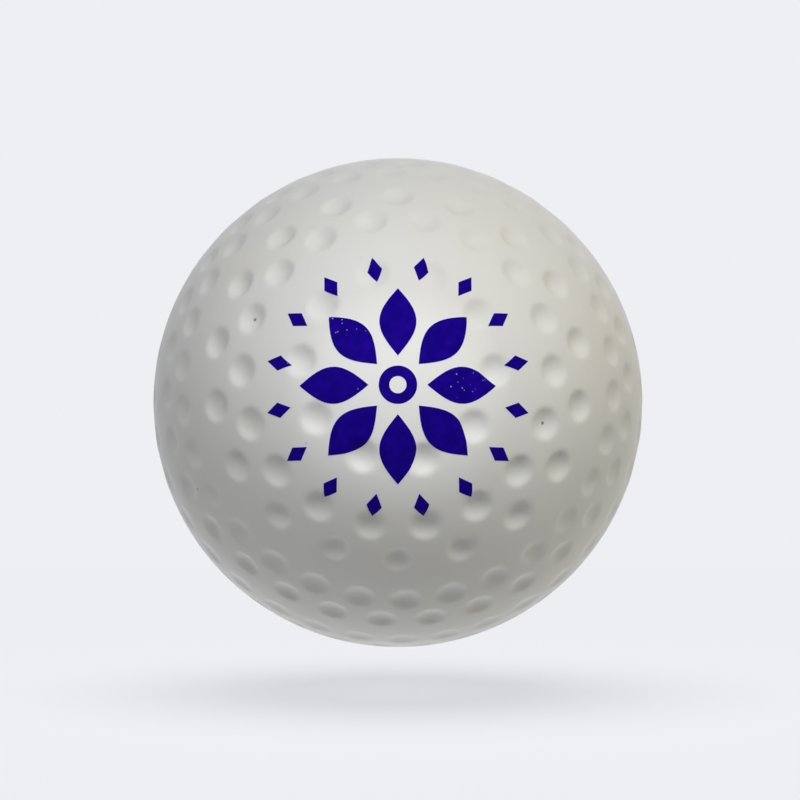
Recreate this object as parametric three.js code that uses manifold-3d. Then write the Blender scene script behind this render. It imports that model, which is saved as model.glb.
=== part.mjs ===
import * as THREE from "three";
import { ConvexHull } from "three/addons/math/ConvexHull.js";
import { mergeVertices } from "three/addons/utils/BufferGeometryUtils.js";
import Module from "manifold-3d";

// Field hockey ball: a cork core inside a dimpled cover that is moulded as two half shells.
// Millimetres and radians. The origin is the ball's centre and Y is the moulding axis.
// The front shell's smooth panel faces -Y, the rear shell's faces +Y, and +Z is up.

const wasm = await Module();
wasm.setup();

const degree = Math.PI / 180;
const fullTurn = 2 * Math.PI;

const ballDiameter = 73;
const coverThickness = 5.2;
const coreGap = 0.3; // between the core and the cover

// The half shells meet on the plane Y = 0, where a tongue on the front one fits a groove in the rear one.
const tongueWidth = 1.6;
const tongueHeight = 1.8;
const grooveGap = 0.3; // on both sides of the tongue and past its end

const dimpleDiameter = 4.1;
const dimpleDepth = 0.7;
const middleDimpleDepth = 0.45; // shallower towards the parting plane, so that the shell leaves its mould
const equatorDimpleDepth = 0.25;

// One row of dimples circles each smooth panel. Staggered pairs of rows follow it towards the equator.
// Their angles are taken from the moulding axis.
const panelRow = { angle: 19.3 * degree, count: 10, turn: 15 * degree };
const firstPairAngle = 36.9 * degree;
const pairPitch = 19.7 * degree;
const rowPitch = 7.8 * degree; // between the two rows of a pair
const pairsFromPanel = [
  { count: 18, turn: 10 * degree, depth: dimpleDepth },
  { count: 30, turn: 2 * degree, depth: middleDimpleDepth },
  { count: 36, turn: 1 * degree, depth: equatorDimpleDepth },
];

const rimPoints = 8;
const bowlPoints = 4;
const panelRingPoints = 6; // on the innermost ring of a smooth panel
const equatorPoints = 96;
const coreSegments = 40;
const tongueSegments = 64;

const ballRadius = ballDiameter / 2;
const cavityRadius = ballRadius - coverThickness;
const coreRadius = cavityRadius - coreGap;
const dimpleAngle = Math.asin(dimpleDiameter / 2 / ballRadius);
const panelMiddle = new THREE.Vector3(0, -1, 0);

// The unit vector at an angle from the front panel's middle, turned around it from +Z towards -X.
function direction(angle, turn) {
  return new THREE.Vector3(
    -Math.sin(angle) * Math.sin(turn),
    -Math.cos(angle),
    Math.sin(angle) * Math.cos(turn),
  );
}

// A circle of directions around a middle one, all at the same depth below the ball's surface.
function circlePoints(middle, angle, count, turn, depth) {
  const tilt = new THREE.Quaternion().setFromUnitVectors(panelMiddle, middle);
  return Array.from({ length: count }, (_, i) => ({
    at: direction(angle, turn + (i * fullTurn) / count).applyQuaternion(tilt),
    depth,
  }));
}

// A round bowl: its rim on the ball's surface, a ring half way in, and the floor.
function dimplePoints(middle, depth) {
  return [
    ...circlePoints(middle, dimpleAngle, rimPoints, 0, 0),
    ...circlePoints(middle, dimpleAngle / 2, bowlPoints, Math.PI / rimPoints, 0.75 * depth),
    { at: middle, depth },
  ];
}

function rowPoints({ angle, count, turn }, depth) {
  return circlePoints(panelMiddle, angle, count, turn, depth).flatMap(({ at }) => dimplePoints(at, depth));
}

function pairPoints({ count, turn, depth }, index) {
  const middle = firstPairAngle + index * pairPitch;
  const stagger = Math.PI / count;
  return [
    ...rowPoints({ angle: middle - rowPitch / 2, count, turn }, depth),
    ...rowPoints({ angle: middle + rowPitch / 2, count, turn: turn + stagger }, depth),
  ];
}

function smoothPanelPoints() {
  const step = (panelRow.angle - dimpleAngle) / 3;
  return [
    { at: panelMiddle.clone(), depth: 0 },
    ...circlePoints(panelMiddle, step, panelRingPoints, 0, 0),
    ...circlePoints(panelMiddle, 2 * step, 2 * panelRingPoints, 0, 0),
  ];
}

// The surface of the whole ball. Both halves come from one mould shape, the rear one turned about Z.
function dimpledBall() {
  const front = [
    ...smoothPanelPoints(),
    ...rowPoints(panelRow, dimpleDepth),
    ...pairsFromPanel.flatMap(pairPoints),
  ];
  const rear = front.map(({ at, depth }) => ({ at: new THREE.Vector3(-at.x, -at.y, at.z), depth }));
  const equator = circlePoints(panelMiddle, Math.PI / 2, equatorPoints, 0, 0);
  const depthOf = new Map([...front, ...rear, ...equator].map(({ at, depth }) => [at, depth]));
  const corners = [];
  for (const face of new ConvexHull().setFromPoints([...depthOf.keys()]).faces) {
    let edge = face.edge;
    do {
      const point = edge.head().point;
      corners.push(point.clone().multiplyScalar(ballRadius - depthOf.get(point)));
      edge = edge.next;
    } while (edge !== face.edge);
  }
  return new THREE.BufferGeometry().setFromPoints(corners);
}

// A ring of rectangular section around Y, in the middle of the cover's wall.
function seamRing(width, bottom, top) {
  const middle = (ballRadius + cavityRadius) / 2;
  const inner = middle - width / 2;
  const outer = middle + width / 2;
  const section = [
    new THREE.Vector2(inner, bottom),
    new THREE.Vector2(outer, bottom),
    new THREE.Vector2(outer, top),
    new THREE.Vector2(inner, top),
    new THREE.Vector2(inner, bottom),
  ];
  return new THREE.LatheGeometry(section, tongueSegments);
}

function solid(geometry) {
  geometry.deleteAttribute("normal");
  geometry.deleteAttribute("uv");
  const merged = mergeVertices(geometry, 1e-4);
  return new wasm.Manifold(
    new wasm.Mesh({
      numProp: 3,
      vertProperties: merged.attributes.position.array,
      triVerts: new Uint32Array(merged.index.array),
    }),
  );
}

function part(name, shape, material) {
  const { vertProperties, triVerts } = shape.getMesh();
  const geometry = new THREE.BufferGeometry();
  geometry.setAttribute("position", new THREE.BufferAttribute(vertProperties, 3));
  geometry.setIndex(new THREE.BufferAttribute(triVerts, 1));
  geometry.computeVertexNormals();
  const mesh = new THREE.Mesh(geometry, material);
  mesh.name = name;
  return mesh;
}

const ball = solid(dimpledBall());
const cavity = solid(new THREE.SphereGeometry(cavityRadius, coreSegments, coreSegments / 2));
const core = solid(new THREE.SphereGeometry(coreRadius, coreSegments, coreSegments / 2));

const [rearBlank, frontBlank] = ball.subtract(cavity).splitByPlane([0, 1, 0], 0);
const tongue = solid(seamRing(tongueWidth, -tongueHeight, tongueHeight));
const groove = solid(
  seamRing(tongueWidth + 2 * grooveGap, -grooveGap, tongueHeight + grooveGap),
);

const coverWhite = { color: 0xdedfda, roughness: 0.45, metalness: 0 };
const corkBrown = { color: 0x9c6b43, roughness: 0.9, metalness: 0 };

const hockeyBall = new THREE.Group();
hockeyBall.add(
  part("front_half_shell", frontBlank.add(tongue), new THREE.MeshStandardMaterial(coverWhite)),
  part("rear_half_shell", rearBlank.subtract(groove), new THREE.MeshStandardMaterial(coverWhite)),
  part("cork_core", core, new THREE.MeshStandardMaterial(corkBrown)),
);

export default hockeyBall;
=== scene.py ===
import math
import bpy
import bmesh
from mathutils import Matrix, Vector


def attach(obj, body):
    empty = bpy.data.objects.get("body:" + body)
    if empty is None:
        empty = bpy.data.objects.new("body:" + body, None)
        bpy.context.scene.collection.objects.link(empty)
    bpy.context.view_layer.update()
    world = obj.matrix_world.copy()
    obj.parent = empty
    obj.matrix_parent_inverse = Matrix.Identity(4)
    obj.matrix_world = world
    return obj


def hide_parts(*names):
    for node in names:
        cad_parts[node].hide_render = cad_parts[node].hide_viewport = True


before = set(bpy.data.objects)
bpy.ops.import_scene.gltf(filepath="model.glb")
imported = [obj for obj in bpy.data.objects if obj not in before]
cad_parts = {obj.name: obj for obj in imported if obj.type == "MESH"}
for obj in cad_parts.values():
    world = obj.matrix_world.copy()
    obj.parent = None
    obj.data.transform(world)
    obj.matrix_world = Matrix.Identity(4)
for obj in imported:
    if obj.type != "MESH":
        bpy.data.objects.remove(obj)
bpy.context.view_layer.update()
scene = bpy.context.scene
mm = 0.001
creaseAngle = math.radians(40)  # edges that turn more than this are shaded sharp


# node helpers, for geometry trees and materials alike
def plug(tree, socket, value):
    if isinstance(value, bpy.types.NodeSocket):
        tree.links.new(value, socket)
    else:
        socket.default_value = value


def put(tree, kind, sockets=None, **settings):
    made = tree.nodes.new(kind)
    for key, value in settings.items():
        setattr(made, key, value)
    for key, value in (sockets or {}).items():
        plug(tree, made.inputs[key], value)
    return made


def sums(tree, operation, *values, clamp=False):
    made = put(tree, "ShaderNodeMath", dict(enumerate(values)), operation=operation, use_clamp=clamp)
    return made.outputs[0]


def vectors(tree, operation, *values):
    made = put(tree, "ShaderNodeVectorMath", dict(enumerate(values)), operation=operation)
    single = operation in ("LENGTH", "DISTANCE", "DOT_PRODUCT")
    return made.outputs["Value" if single else "Vector"]


def scaled(tree, vector, factor):
    made = put(tree, "ShaderNodeVectorMath", {0: vector, "Scale": factor}, operation="SCALE")
    return made.outputs["Vector"]


def joinedXyz(tree, x, y, z):
    return put(tree, "ShaderNodeCombineXYZ", {0: x, 1: y, 2: z}).outputs[0]


def splitXyz(tree, vector):
    return put(tree, "ShaderNodeSeparateXYZ", {0: vector}).outputs


def noise(tree, place, scale, detail, roughness=0.5):
    sockets = {"Vector": place, "Scale": scale, "Detail": detail, "Roughness": roughness}
    return put(tree, "ShaderNodeTexNoise", sockets).outputs[0]


def cells(tree, place, scale):
    return put(tree, "ShaderNodeTexVoronoi", {"Vector": place, "Scale": scale}, feature="F1").outputs


# geometry helpers
def position(tree):
    return put(tree, "GeometryNodeInputPosition").outputs[0]


def placed(tree, geometry, pinShadeSpot):
    return put(tree, "GeometryNodeSetPosition", {"Geometry": geometry, "Position": pinShadeSpot}).outputs[0]


def pushed(tree, geometry, offset):
    return put(tree, "GeometryNodeSetPosition", {"Geometry": geometry, "Offset": offset}).outputs[0]


def newTree(name, sizes):
    tree = bpy.data.node_groups.new(name, "GeometryNodeTree")
    tree.interface.new_socket(name="Geometry", in_out="INPUT", socket_type="NodeSocketGeometry")
    for key, value in sizes.items():
        kind = "NodeSocketInt" if isinstance(value, int) else "NodeSocketFloat"
        tree.interface.new_socket(name=key, in_out="INPUT", socket_type=kind).default_value = value
    tree.interface.new_socket(name="Geometry", in_out="OUTPUT", socket_type="NodeSocketGeometry")
    return tree, put(tree, "NodeGroupInput").outputs, put(tree, "NodeGroupOutput")


# the last nodes of every piece's tree
def finishTree(tree, out, geometry, material):
    smooth = put(tree, "GeometryNodeSetShadeSmooth", {"Geometry": geometry}).outputs[0]
    real = put(tree, "GeometryNodeRealizeInstances", {"Geometry": smooth}).outputs[0]
    made = put(tree, "GeometryNodeSetMaterial", {"Geometry": real, "Material": material}).outputs[0]
    plug(tree, out.inputs[0], made)


# sets a tree's inputs, evaluates it on an empty mesh and keeps the result as a plain mesh
def grow(name, tree, sizes, thickness=None):
    start = bpy.data.objects.new(name + "_start", bpy.data.meshes.new(name + "_start"))
    scene.collection.objects.link(start)
    nodesMod = start.modifiers.new("shape", "NODES")
    nodesMod.node_group = tree
    for item in tree.interface.items_tree:
        if item.in_out == "INPUT" and item.name in sizes:
            nodesMod[item.identifier] = sizes[item.name]
    if thickness:
        film = start.modifiers.new("film", "SOLIDIFY")
        film.thickness = thickness
        film.offset = -1
    mesh = bpy.data.meshes.new_from_object(start.evaluated_get(bpy.context.evaluated_depsgraph_get()))
    bpy.data.objects.remove(start)
    mesh.name = name
    piece = bpy.data.objects.new(name, mesh)
    scene.collection.objects.link(piece)
    return piece


# material helpers
def srgb(red, green, blue):
    def linear(value):
        value /= 255
        return value / 12.92 if value <= 0.04045 else ((value + 0.055) / 1.055) ** 2.4
    return (linear(red), linear(green), linear(blue), 1)


def newMaterial(name):
    material = bpy.data.materials.new(name)
    material.use_nodes = True
    tree = material.node_tree
    return material, tree, tree.nodes["Principled BSDF"]


def objectCoords(tree):
    return put(tree, "ShaderNodeTexCoord").outputs["Object"]


def ranged(tree, value, low, high, toLow, toHigh):
    return put(tree, "ShaderNodeMapRange", {0: value, 1: low, 2: high, 3: toLow, 4: toHigh}).outputs[0]


# a share that follows noise: the least where the noise is below low, the most where it is above high
def mottled(tree, place, scale, detail, low, high, most, least=0, roughness=0.5):
    return ranged(tree, noise(tree, place, scale, detail, roughness), low, high, least, most)


# the mix node keeps its colour sockets behind those for numbers and vectors
def blended(tree, factor, first, second):
    return put(tree, "ShaderNodeMix", {0: factor, 6: first, 7: second}, data_type="RGBA").outputs[2]


def bumped(tree, shader, height, strength, depth):
    bump = put(tree, "ShaderNodeBump", {"Strength": strength, "Distance": depth, "Height": height})
    plug(tree, shader.inputs["Normal"], bump.outputs[0])


# white vinyl of the cover: warm patches, dimples a little darker towards grey where they are deeper,
# specks, a fine moulded grain, a painted highlight that whitens the middle of each half, and two pin marks
# from the mould in the front half, dark spots that are partly their own dirt and partly painted shade of
# their small pits
vinyl = {
    "clean": srgb(227, 227, 225),
    "warm": srgb(225, 223, 215),
    "patches": {"scale": 45, "detail": 3, "low": 0.42, "high": 0.7, "most": 0.55},
    # a grey that darkens the dimples, more where they are deeper, by an amount the noise sets
    "dimpleGrey": srgb(176, 174, 166),
    "dimpleDarkening": {"scale": 160, "detail": 4, "low": 0.35, "high": 0.75, "most": 0.08},
    # painted highlight: a whiter colour for the middle of each half, where the light falls brightest
    "panel": srgb(239, 239, 237),
    "panelMiddle": (0, -0.993, -0.12),  # a direction, a little below the moulding axis
    "paintedLightEdge": (0.92, 0.965),  # cosine of the angle from there, where the painted light fades
    "speck": srgb(92, 90, 96),
    "speckCells": 420.0,
    "speckSize": (0.06, 0.1),  # as a share of a cell
    "specked": {"scale": 95, "detail": 2, "low": 0.66, "high": 0.7, "most": 0.6},
    # pin marks: dark spots, partly their own dirt and partly painted shade of pits too small for the mesh
    "pinDirtAndShade": srgb(84, 70, 48),
    "pinAngle": math.radians(33),
    "pinTurns": (math.radians(70), math.radians(250)),
    "pinReach": 35.7 * mm,  # from the ball's middle to about the floor of a dimple
    "pinRadius": 0.3 * mm,
    "pinStrength": 0.8,
    "roughness": {"scale": 220, "detail": 4, "low": 0.3, "high": 0.7, "least": 0.31, "most": 0.39},
    "grain": {"scale": 2600, "detail": 3},
    "grainStrength": 0.06,
    "grainDepth": 0.05 * mm,
    "refraction": 1.5,
}


# a place on the front half: an angle from the moulding axis and a turn around it, from +Z towards -X
def onFront(angle, turn, radius):
    across = radius * math.sin(angle)
    return (-across * math.sin(turn), -radius * math.cos(angle), across * math.cos(turn))


def coverVinyl():
    material, tree, shader = newMaterial("cover_vinyl")
    place = objectCoords(tree)
    patches = mottled(tree, place, **vinyl["patches"])
    colour = blended(tree, patches, vinyl["clean"], vinyl["warm"])
    # the dimples are darkened towards grey, more where they are deeper
    sunk = put(tree, "ShaderNodeAttribute", attribute_name="sunk").outputs["Fac"]
    darkening = sums(tree, "MULTIPLY", sunk, mottled(tree, place, **vinyl["dimpleDarkening"]))
    colour = blended(tree, darkening, colour, vinyl["dimpleGrey"])
    # painted highlight: the middle of each half is whitened, centred a little below the moulding axis
    outward = vectors(tree, "NORMALIZE", place)
    facing = sums(tree, "ABSOLUTE", vectors(tree, "DOT_PRODUCT", outward, vinyl["panelMiddle"]))
    paintedLight = ranged(tree, facing, *vinyl["paintedLightEdge"], 0, 1)
    colour = blended(tree, paintedLight, colour, vinyl["panel"])
    dots = ranged(tree, cells(tree, place, vinyl["speckCells"])["Distance"], *vinyl["speckSize"], 1, 0)
    specks = sums(tree, "MULTIPLY", dots, mottled(tree, place, **vinyl["specked"]))
    colour = blended(tree, specks, colour, vinyl["speck"])
    # each pin mark is a dark spot: its own dirt plus painted shade of its pit
    for turn in vinyl["pinTurns"]:
        away = vectors(tree, "DISTANCE", place, onFront(vinyl["pinAngle"], turn, vinyl["pinReach"]))
        pinShadeSpot = ranged(tree, away, vinyl["pinRadius"] / 2, vinyl["pinRadius"], vinyl["pinStrength"], 0)
        colour = blended(tree, pinShadeSpot, colour, vinyl["pinDirtAndShade"])
    plug(tree, shader.inputs["Base Color"], colour)
    plug(tree, shader.inputs["Roughness"], mottled(tree, place, **vinyl["roughness"]))
    grain = noise(tree, place, **vinyl["grain"])
    bumped(tree, shader, grain, vinyl["grainStrength"], vinyl["grainDepth"])
    shader.inputs["IOR"].default_value = vinyl["refraction"]
    return material


# blue printing ink, a little mottled, with pinholes that show the vinyl
ink = {
    "deep": srgb(20, 0, 126),
    "thin": srgb(34, 6, 150),
    "mottle": {"scale": 700, "detail": 5, "roughness": 0.6, "low": 0.42, "high": 0.72, "most": 1},
    "mottleStrength": 0.1,
    "mottleDepth": 0.02 * mm,
    "pinhole": srgb(176, 174, 196),
    "pinholeCells": 1500.0,
    "pinholeSize": (0.1, 0.16),  # as a share of a cell
    "worn": {"scale": 240, "detail": 3, "low": 0.6, "high": 0.7, "most": 0.8},
    "roughness": (0.6, 0.75),
    "specular": 0.12,
}


def markInk():
    material, tree, shader = newMaterial("mark_ink")
    place = objectCoords(tree)
    mottle = mottled(tree, place, **ink["mottle"])
    colour = blended(tree, mottle, ink["deep"], ink["thin"])
    dots = ranged(tree, cells(tree, place, ink["pinholeCells"])["Distance"], *ink["pinholeSize"], 1, 0)
    pinholes = sums(tree, "MULTIPLY", dots, mottled(tree, place, **ink["worn"]))
    colour = blended(tree, pinholes, colour, ink["pinhole"])
    plug(tree, shader.inputs["Base Color"], colour)
    plug(tree, shader.inputs["Roughness"], ranged(tree, mottle, 0, 1, *ink["roughness"]))
    shader.inputs["Specular IOR Level"].default_value = ink["specular"]
    bumped(tree, shader, mottle, ink["mottleStrength"], ink["mottleDepth"])
    return material


# pressed cork and rubber granules of the core
cork = {
    "light": srgb(189, 142, 92),
    "dark": srgb(104, 66, 38),
    "grainScale": 480.0,
    "grainStrength": 0.4,
    "grainDepth": 0.1 * mm,
    "rubber": srgb(52, 42, 38),
    "rubberEdge": (0.72, 0.76),  # a grain whose second tone is above this is rubber
    "rubberStrength": 0.85,
    "fleck": {"scale": 1900, "detail": 4, "low": 0.4, "high": 0.7, "most": 0.4},
    "roughness": (0.75, 0.95),
}


def coreCork():
    material, tree, shader = newMaterial("core_cork")
    place = objectCoords(tree)
    grains = cells(tree, place, cork["grainScale"])
    tone = put(tree, "ShaderNodeSeparateColor", {0: grains["Color"]}).outputs
    colour = blended(tree, tone[0], cork["light"], cork["dark"])
    rubber = ranged(tree, tone[1], *cork["rubberEdge"], 0, cork["rubberStrength"])
    colour = blended(tree, rubber, colour, cork["rubber"])
    colour = blended(tree, mottled(tree, place, **cork["fleck"]), colour, cork["dark"])
    plug(tree, shader.inputs["Base Color"], colour)
    plug(tree, shader.inputs["Roughness"], ranged(tree, tone[2], 0, 1, *cork["roughness"]))
    bumped(tree, shader, grains["Distance"], cork["grainStrength"], cork["grainDepth"])
    return material


vinylMaterial = coverVinyl()
inkMaterial = markInk()
corkMaterial = coreCork()
print("materials made")

# the ball and its dimples: angles from the moulding axis, which runs along Y
ballSizes = {
    "Ball radius": 36.5 * mm,
    "Dimple diameter": 4.1 * mm,
    "Dimple depth": 0.7 * mm,
    "Middle dimple depth": 0.45 * mm,
    "Seam dimple depth": 0.25 * mm,
    "Lip softness": 0.18,
    "Panel row angle": math.radians(19.3),
    "First pair angle": math.radians(36.9),
    "Pair pitch": math.radians(19.7),
    "Row pitch": math.radians(7.8),
}
panelRow = {"count": 10, "turn": 15}
rowPairs = [  # towards the seam, where the dimples are shallower
    {"count": 18, "turn": 10, "depth": "Dimple depth"},
    {"count": 30, "turn": 2, "depth": "Middle dimple depth"},
    {"count": 36, "turn": 1, "depth": "Seam dimple depth"},
]
lipTail = 0.012  # the soft lip leaves about this share of the depth between dimples, so it is taken off


# one row: points around the moulding axis, each knowing how deep its dimple is
def dimpleRow(tree, given, angle, count, turn, depth):
    index = put(tree, "GeometryNodeInputIndex").outputs[0]
    step = sums(tree, "MULTIPLY_ADD", index, 2 * math.pi / count, math.radians(turn))
    reach = sums(tree, "MULTIPLY", sums(tree, "SINE", angle), given["Ball radius"])
    across = sums(tree, "MULTIPLY", sums(tree, "SINE", step), sums(tree, "MULTIPLY", reach, -1))
    forward = sums(tree, "MULTIPLY", given["Ball radius"], -1)
    along = sums(tree, "MULTIPLY", sums(tree, "COSINE", angle), forward)
    height = sums(tree, "MULTIPLY", sums(tree, "COSINE", step), reach)
    spots = joinedXyz(tree, across, along, height)
    row = put(tree, "GeometryNodePoints", {"Count": count, "Position": spots}).outputs[0]
    named = {"Geometry": row, "Name": "depth", "Value": depth}
    return put(tree, "GeometryNodeStoreNamedAttribute", named).outputs[0]


# sinks whatever lies on the ball's surface into the dimples below it
def dimpleTree():
    tree, given, out = newTree("sink_dimples", ballSizes)
    rows = [dimpleRow(tree, given, given["Panel row angle"], **panelRow, depth=given["Dimple depth"])]
    for number, pair in enumerate(rowPairs):
        middle = sums(tree, "MULTIPLY_ADD", given["Pair pitch"], float(number), given["First pair angle"])
        depth = given[pair["depth"]]
        for side, stagger in ((-0.5, 0), (0.5, 180 / pair["count"])):
            angle = sums(tree, "MULTIPLY_ADD", given["Row pitch"], side, middle)
            rows.append(dimpleRow(tree, given, angle, pair["count"], pair["turn"] + stagger, depth))
    joined = put(tree, "GeometryNodeJoinGeometry")
    for row in rows:
        tree.links.new(row, joined.inputs[0])
    centres = joined.outputs[0]
    here = position(tree)
    outward = vectors(tree, "NORMALIZE", here)
    onBall = scaled(tree, outward, given["Ball radius"])
    search = {"Geometry": centres, "Sample Position": onBall}
    nearest = put(tree, "GeometryNodeSampleNearest", search).outputs[0]
    centre = put(tree, "GeometryNodeSampleIndex", data_type="FLOAT_VECTOR")
    for key, value in (("Geometry", centres), ("Value", here), ("Index", nearest)):
        plug(tree, centre.inputs[key], value)
    depthField = put(tree, "GeometryNodeInputNamedAttribute", {"Name": "depth"}, data_type="FLOAT")
    taken = {"Geometry": centres, "Value": depthField.outputs[0], "Index": nearest}
    depthHere = put(tree, "GeometryNodeSampleIndex", taken).outputs[0]
    dimpleRadius = sums(tree, "MULTIPLY", given["Dimple diameter"], 0.5)
    away = sums(tree, "DIVIDE", vectors(tree, "DISTANCE", onBall, centre.outputs[0]), dimpleRadius)
    # a bowl from 1 in the middle to 0 past the rim, with its lip rounded off
    bowl = sums(tree, "SUBTRACT", 1.0, sums(tree, "MULTIPLY", away, away))
    soft = sums(tree, "MULTIPLY", given["Lip softness"], given["Lip softness"])
    bowl = sums(tree, "ADD", bowl, sums(tree, "SQRT", sums(tree, "MULTIPLY_ADD", bowl, bowl, soft)))
    bowl = sums(tree, "MULTIPLY_ADD", bowl, 0.5, -lipTail, clamp=True)
    named = {"Geometry": given["Geometry"], "Name": "sunk", "Value": bowl}
    stored = put(tree, "GeometryNodeStoreNamedAttribute", named).outputs[0]
    drop = sums(tree, "MULTIPLY", sums(tree, "MULTIPLY", bowl, depthHere), -1.0)
    plug(tree, out.inputs[0], pushed(tree, stored, scaled(tree, outward, drop)))
    return tree


dimples = dimpleTree()


def sunkInDimples(tree, given, geometry):
    group = put(tree, "GeometryNodeGroup", node_tree=dimples)
    plug(tree, group.inputs["Geometry"], geometry)
    for key in ballSizes:
        plug(tree, group.inputs[key], given[key])
    return group.outputs[0]


coverSizes = {
    **ballSizes,
    "Grid cells": 160,  # along a quarter turn, an even number
    "Seam width": 0.35 * mm,
    "Seam depth": 0.12 * mm,
    "Unevenness": 0.03 * mm,
    "Wave scale": 130.0,
    "Print room": 0.02 * mm,  # how far the cover stays inside the ball's size, so that the print does too
}


# outer face of the front half: a cube's grid rounded to a ball, cut at Y = 0
def coverTree():
    tree, given, out = newTree("cover_half", coverSizes)
    points = sums(tree, "ADD", given["Grid cells"], 1.0)
    grid = {"Size": (2, 2, 2), "Vertices X": points, "Vertices Y": points, "Vertices Z": points}
    cube = put(tree, "GeometryNodeMeshCube", grid).outputs[0]
    here = position(tree)
    acrossSeam = splitXyz(tree, here)[1]
    rear = {"Geometry": cube, "Selection": sums(tree, "GREATER_THAN", acrossSeam, 0.0)}
    half = put(tree, "GeometryNodeDeleteGeometry", rear, domain="FACE").outputs[0]
    even = vectors(tree, "TANGENT", scaled(tree, here, math.pi / 4))  # evens out the grid's cells
    ball = placed(tree, half, scaled(tree, vectors(tree, "NORMALIZE", even), given["Ball radius"]))
    ball = sunkInDimples(tree, given, ball)
    fromSeam = sums(tree, "DIVIDE", sums(tree, "ABSOLUTE", acrossSeam), given["Seam width"])
    notch = sums(tree, "SUBTRACT", 1.0, fromSeam, clamp=True)
    wave = noise(tree, here, given["Wave scale"], detail=1.0)
    drop = sums(tree, "MULTIPLY", sums(tree, "SUBTRACT", wave, 1.0), given["Unevenness"])
    inside = sums(tree, "MULTIPLY_ADD", notch, given["Seam depth"], given["Print room"])
    drop = sums(tree, "SUBTRACT", drop, inside)
    moved = pushed(tree, ball, scaled(tree, vectors(tree, "NORMALIZE", here), drop))
    finishTree(tree, out, moved, vinylMaterial)
    return tree


# wall of a half shell: the seam's tongue or groove, and the cavity for the core
wall = {
    "cavity": 31.3 * mm,
    "tongueWidth": 1.6 * mm,
    "tongueHeight": 1.8 * mm,
    "grooveGap": 0.3 * mm,
    "cavityRings": 14,
}


def seamProfile(tongue):
    middle = (ballSizes["Ball radius"] + wall["cavity"]) / 2
    gap = 0 if tongue else wall["grooveGap"]
    width = wall["tongueWidth"] / 2 + gap
    height = wall["tongueHeight"] if tongue else -(wall["tongueHeight"] + gap)
    outer, inner = middle + width, middle - width
    profile = [(outer, 0), (outer, height), (inner, height), (inner, 0)]
    for ring in range(wall["cavityRings"]):
        turn = math.pi / 2 * ring / wall["cavityRings"]
        profile.append((wall["cavity"] * math.cos(turn), -wall["cavity"] * math.sin(turn)))
    return profile


# carries the cover's rim along the profile, ring by ring, and closes the cavity at its pole
def closeWall(piece, tongue):
    bm = bmesh.new()
    bm.from_mesh(piece.data)
    rim = {vert for edge in bm.edges if edge.is_boundary for vert in edge.verts}
    ring = sorted(rim, key=lambda vert: math.atan2(vert.co.z, vert.co.x))
    turns = [math.atan2(vert.co.z, vert.co.x) for vert in ring]
    count = len(ring)
    faces = []
    for radius, along in seamProfile(tongue):
        inside = [bm.verts.new((radius * math.cos(turn), along, radius * math.sin(turn))) for turn in turns]
        for i in range(count):
            j = (i + 1) % count
            faces.append(bm.faces.new((ring[i], ring[j], inside[j], inside[i])))
        ring = inside
    pole = bm.verts.new((0, -wall["cavity"], 0))
    for i in range(count):
        faces.append(bm.faces.new((ring[i], ring[(i + 1) % count], pole)))
    for face in faces:
        face.smooth = True
    bmesh.ops.recalc_face_normals(bm, faces=bm.faces[:])
    bm.to_mesh(piece.data)
    bm.free()
    piece.data.set_sharp_from_angle(angle=creaseAngle)


cover = coverTree()
frontCover = grow("front_cover", cover, coverSizes)
rearCover = grow("rear_cover", cover, coverSizes)
closeWall(frontCover, tongue=True)
closeWall(rearCover, tongue=False)
rearCover.data.transform(Matrix.Rotation(math.pi, 4, "Z"))  # both halves come from one mould shape
print("cover halves:", len(frontCover.data.polygons), "faces each")

coreSizes = {
    "Core radius": 31.0 * mm,
    "Subdivisions": 7,
    "Pitting": 0.12 * mm,
    "Grain scale": cork["grainScale"],
}


def coreTree():
    tree, given, out = newTree("cork_core", coreSizes)
    sphere = {"Radius": given["Core radius"], "Subdivisions": given["Subdivisions"]}
    ball = put(tree, "GeometryNodeMeshIcoSphere", sphere).outputs[0]
    here = position(tree)
    grains = cells(tree, here, given["Grain scale"])["Distance"]
    drop = sums(tree, "MULTIPLY", sums(tree, "MULTIPLY", grains, -1.0), given["Pitting"])
    moved = pushed(tree, ball, scaled(tree, vectors(tree, "NORMALIZE", here), drop))
    finishTree(tree, out, moved, corkMaterial)
    return tree


corkBall = grow("cork_ball", coreTree(), coreSizes)
print("core made")

# printed mark: a rosette of leaves with lozenges around it, centred a little below the panel's middle
markSizes = {
    **ballSizes,
    "Below middle": 2.7 * mm,
    "Leaf count": 8,
    "Leaf start": 3.6 * mm,
    "Leaf length": 8.8 * mm,
    "Leaf width": 4.6 * mm,
    "Lozenge count": 16,
    "Lozenge start": 13.9 * mm,
    "Lozenge length": 3.4 * mm,
    "Lozenge width": 2.0 * mm,
    "Petal columns": 13,  # grid points of a leaf or a lozenge
    "Petal rows": 31,
    "Eye radius": 1.7 * mm,
    "Eye width": 1.3 * mm,
    "Eye columns": 65,
    "Eye rows": 7,
    "Weld distance": 0.001 * mm,
}
filmThickness = 0.08 * mm  # it goes down into the cover


# a grid of side 1, and its points' places
def unitGrid(tree, given, name):
    grid = put(tree, "GeometryNodeMeshGrid", {"Size X": 1.0, "Size Y": 1.0})
    plug(tree, grid.inputs["Vertices X"], given[name + " columns"])
    plug(tree, grid.inputs["Vertices Y"], given[name + " rows"])
    return grid.outputs[0], splitXyz(tree, position(tree))


# bends a grid to its new places and joins the points that meet there
def bent(tree, given, grid, across, along):
    moved = placed(tree, grid, joinedXyz(tree, across, along, 0.0))
    sockets = {"Geometry": moved, "Distance": given["Weld distance"]}
    return put(tree, "GeometryNodeMergeByDistance", sockets).outputs[0]


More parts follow.
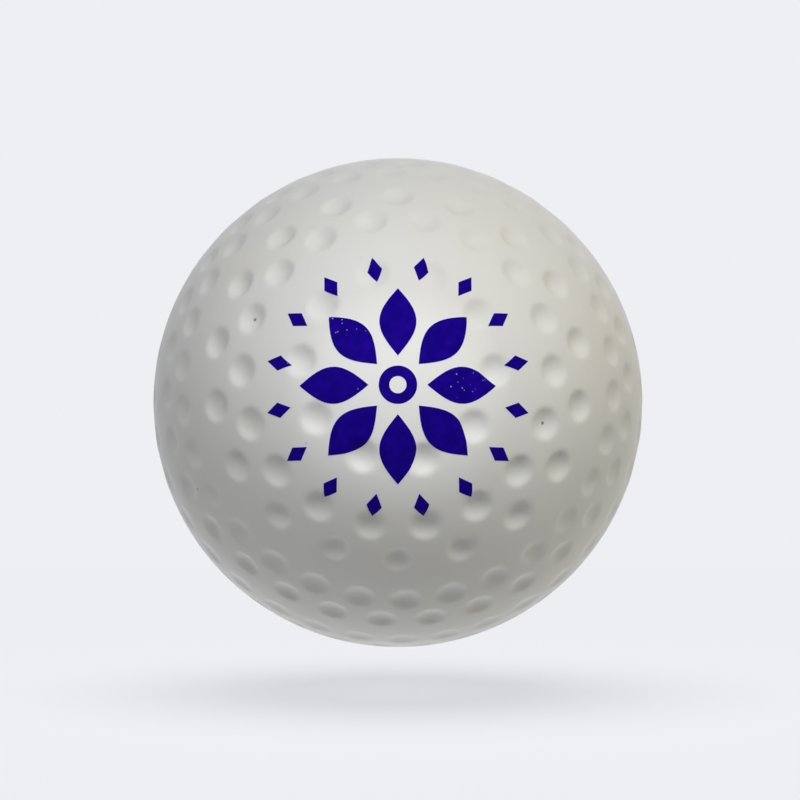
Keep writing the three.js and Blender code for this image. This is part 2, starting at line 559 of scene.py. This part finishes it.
# leaves or lozenges that point away from the middle, repeated around it
def petalRing(tree, given, name, roundness, firstTurn):
    grid, flat = unitGrid(tree, given, "Petal")
    share = sums(tree, "ADD", flat[1], 0.5)
    curve = sums(tree, "SINE", sums(tree, "MULTIPLY", share, math.pi))
    straight = sums(tree, "SUBTRACT", 1.0, sums(tree, "ABSOLUTE", sums(tree, "MULTIPLY", flat[1], 2.0)))
    swell = put(tree, "ShaderNodeMix", {0: roundness, 2: straight, 3: curve}).outputs[0]
    across = sums(tree, "MULTIPLY", sums(tree, "MULTIPLY", flat[0], given[name + " width"]), swell)
    along = sums(tree, "MULTIPLY_ADD", share, given[name + " length"], given[name + " start"])
    petal = bent(tree, given, grid, across, along)
    count = given[name + " count"]
    spots = put(tree, "GeometryNodePoints", {"Count": count, "Position": (0, 0, 0)}).outputs[0]
    index = put(tree, "GeometryNodeInputIndex").outputs[0]
    step = sums(tree, "DIVIDE", 2 * math.pi, count)
    turn = sums(tree, "MULTIPLY", sums(tree, "ADD", index, firstTurn), step)
    ring = {"Points": spots, "Instance": petal, "Rotation": joinedXyz(tree, 0.0, 0.0, turn)}
    return put(tree, "GeometryNodeInstanceOnPoints", ring).outputs[0]


# the small ring in the middle
def eyeRing(tree, given):
    band, flat = unitGrid(tree, given, "Eye")
    angle = sums(tree, "MULTIPLY", flat[0], 2 * math.pi)
    reach = sums(tree, "MULTIPLY_ADD", flat[1], given["Eye width"], given["Eye radius"])
    across = sums(tree, "MULTIPLY", sums(tree, "SINE", angle), reach)
    along = sums(tree, "MULTIPLY", sums(tree, "COSINE", angle), reach)
    return bent(tree, given, band, across, along)


def markTree():
    tree, given, out = newTree("rosette_mark", markSizes)
    joined = put(tree, "GeometryNodeJoinGeometry")
    leaves = petalRing(tree, given, "Leaf", roundness=1.0, firstTurn=0.0)
    lozenges = petalRing(tree, given, "Lozenge", roundness=0.0, firstTurn=0.5)
    for part in (leaves, lozenges, eyeRing(tree, given)):
        tree.links.new(part, joined.inputs[0])
    rosette = put(tree, "GeometryNodeRealizeInstances", {"Geometry": joined.outputs[0]}).outputs[0]
    # wrap the flat print round the ball, tip it below the middle, press it into the dimples
    place = position(tree)
    angle = sums(tree, "DIVIDE", vectors(tree, "LENGTH", place), given["Ball radius"])
    unit = splitXyz(tree, vectors(tree, "NORMALIZE", place))
    side = sums(tree, "SINE", angle)
    across = sums(tree, "MULTIPLY", unit[0], side)
    forward = sums(tree, "MULTIPLY", sums(tree, "COSINE", angle), -1.0)
    upward = sums(tree, "MULTIPLY", unit[1], side)
    turned = {
        "Vector": joinedXyz(tree, across, forward, upward),
        "Angle": sums(tree, "DIVIDE", given["Below middle"], given["Ball radius"]),
    }
    tipped = put(tree, "ShaderNodeVectorRotate", turned, rotation_type="X_AXIS").outputs[0]
    wrapped = placed(tree, rosette, scaled(tree, tipped, given["Ball radius"]))
    finishTree(tree, out, sunkInDimples(tree, given, wrapped), inkMaterial)
    return tree


mark = grow("printed_mark", markTree(), markSizes, thickness=filmThickness)
mark.data.set_sharp_from_angle(angle=creaseAngle)
print("mark made:", len(mark.data.polygons), "faces")

for piece, node, slot in (
    (frontCover, "front_half_shell", "cover_plastic"),
    (rearCover, "rear_half_shell", "cover_plastic"),
    (corkBall, "cork_core", "core_cork"),
    (mark, None, "print_ink"),
):
    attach(piece, "root")
    if node:
        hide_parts(node)

# camera: close to the ball and a little below its middle, as photographed
photoSide = 800  # pixels
view = {
    "distance": 182.5 * mm,
    "below": math.radians(7.68),
    "lens": 53.95,
    "shiftX": 2.1 / photoSide,
    "shiftY": 2.6 / photoSide,
    "nearest": 5 * mm,
}
cameraData = bpy.data.cameras.new("camera")
camera = bpy.data.objects.new("camera", cameraData)
scene.collection.objects.link(camera)
back, below = view["distance"], view["below"]
camera.location = (0, -back * math.cos(below), -back * math.sin(below))
camera.rotation_euler = (-camera.location).to_track_quat("-Z", "Y").to_euler()
cameraData.lens = view["lens"]
cameraData.shift_x = view["shiftX"]
cameraData.shift_y = view["shiftY"]
cameraData.clip_start = view["nearest"]
scene.camera = camera

# pale floor just under the ball, and a backdrop of the same colour
studio = {
    "pale": srgb(238, 239, 243),
    "floorDrop": 43.6 * mm,
    "floorSize": 6.0,
    "floorMatt": 0.28,
    "floorBounce": 0.01,
}
floorMesh = bpy.data.meshes.new("floor")
reach, low = studio["floorSize"], -studio["floorDrop"]
corners = [(-reach, -reach, low), (reach, -reach, low), (reach, reach, low), (-reach, reach, low)]
floorMesh.from_pydata(corners, [], [(0, 1, 2, 3)])
floor = bpy.data.objects.new("floor", floorMesh)
scene.collection.objects.link(floor)
floor.visible_shadow = False  # lets the low lamps through


def seenRays(tree):
    rays = put(tree, "ShaderNodeLightPath").outputs
    direct = sums(tree, "MAXIMUM", rays["Is Camera Ray"], rays["Is Glossy Ray"])
    return sums(tree, "MAXIMUM", direct, rays["Is Transmission Ray"])


# part of the floor's paleness is its own paint, which takes the shadow, and the rest is a glow
def floorPaint():
    material, tree, shader = newMaterial("floor_paint")
    tree.nodes.remove(shader)
    paint = [studio["floorMatt"] * part for part in studio["pale"][:3]] + [1]
    matt = put(tree, "ShaderNodeBsdfDiffuse", {"Color": paint})
    glow = put(tree, "ShaderNodeEmission", {"Color": studio["pale"], "Strength": 1 - studio["floorMatt"]})
    bounce = put(tree, "ShaderNodeEmission", {"Color": (1, 1, 1, 1), "Strength": studio["floorBounce"]})
    pale = put(tree, "ShaderNodeAddShader", {0: matt.outputs[0], 1: glow.outputs[0]})
    lit = put(tree, "ShaderNodeMixShader", {0: seenRays(tree), 1: bounce.outputs[0], 2: pale.outputs[0]})
    tree.links.new(lit.outputs[0], tree.nodes["Material Output"].inputs[0])
    return material


floorMesh.materials.append(floorPaint())

# the backdrop is seen and mirrored, but gives no other light
world = bpy.data.worlds.new("studio")
scene.world = world
world.use_nodes = True
sky = world.node_tree
sky.nodes.clear()
backdrop = put(sky, "ShaderNodeBackground", {"Color": studio["pale"], "Strength": 1.0})
mixed = put(sky, "ShaderNodeMixShader", {0: seenRays(sky), 2: backdrop.outputs[0]})
plug(sky, put(sky, "ShaderNodeOutputWorld").inputs[0], mixed.outputs[0])

# each lamp lights either the ball or the floor
litBall = bpy.data.collections.new("lit_ball")
for piece in (frontCover, rearCover, corkBall, mark):
    litBall.objects.link(piece)
litFloor = bpy.data.collections.new("lit_floor")
litFloor.objects.link(floor)


def towards(azimuth, elevation):
    side, up = math.radians(azimuth), math.radians(elevation)
    return Vector((math.sin(side) * math.cos(up), -math.cos(side) * math.cos(up), math.sin(up)))


def hang(name, data, direction, receivers):
    lamp = bpy.data.objects.new(name, data)
    scene.collection.objects.link(lamp)
    lamp.rotation_euler = direction.to_track_quat("Z", "Y").to_euler()
    lamp.visible_camera = False
    lamp.visible_glossy = False  # the vinyl mirrors the pale room only
    lamp.light_linking.receiver_collection = receivers
    return lamp


# a lamp's level is how bright it makes a white face that is turned to it
def softBox(name, azimuth, elevation, distance, size, level):
    data = bpy.data.lights.new(name, "AREA")
    data.shape = "DISK"
    data.size = size
    data.energy = level * (math.pi * (distance - ballSizes["Ball radius"])) ** 2
    direction = towards(azimuth, elevation)
    lamp = hang(name, data, direction, litBall)
    lamp.location = direction * distance


def softSun(name, azimuth, elevation, spread, level, receivers=litBall, colour=(1, 1, 1)):
    data = bpy.data.lights.new(name, "SUN")
    data.energy = level * math.pi
    data.angle = math.radians(spread)
    data.color = colour
    data.cycles.use_multiple_importance_sampling = False  # wide suns that overlap lose light with it
    hang(name, data, towards(azimuth, elevation), receivers)


softSun("key_left", azimuth=-25, elevation=43, spread=20, level=0.21)
softSun("key_right", azimuth=40, elevation=43, spread=20, level=0.34)
softSun("left_side", azimuth=-90, elevation=10, spread=50, level=0.1)
softSun("right_side", azimuth=85, elevation=12, spread=50, level=0.16, colour=(1, 0.9, 0.4))
softSun("low_front", azimuth=10, elevation=-30, spread=50, level=0.03)
softSun("under_back", azimuth=178, elevation=-58, spread=30, level=0.52)
softSun("under_left", azimuth=-120, elevation=-40, spread=40, level=0.12)
softSun("under_right", azimuth=120, elevation=-45, spread=40, level=0.03)
softSun("behind", azimuth=180, elevation=22, spread=20, level=0.5)  # for the views from the back
softBox("front_box", azimuth=-8, elevation=4, distance=95 * mm, size=36 * mm, level=0.27)
softBox("front_wide", azimuth=7, elevation=5, distance=150 * mm, size=60 * mm, level=0.27)
softBox("floor_box", azimuth=0, elevation=-89, distance=60 * mm, size=40 * mm, level=0.45)
softSun("floor_light", azimuth=0, elevation=74, spread=60, level=1.0, receivers=litFloor)
scene.view_settings.view_transform = "Standard"
print("camera, floor and light set")
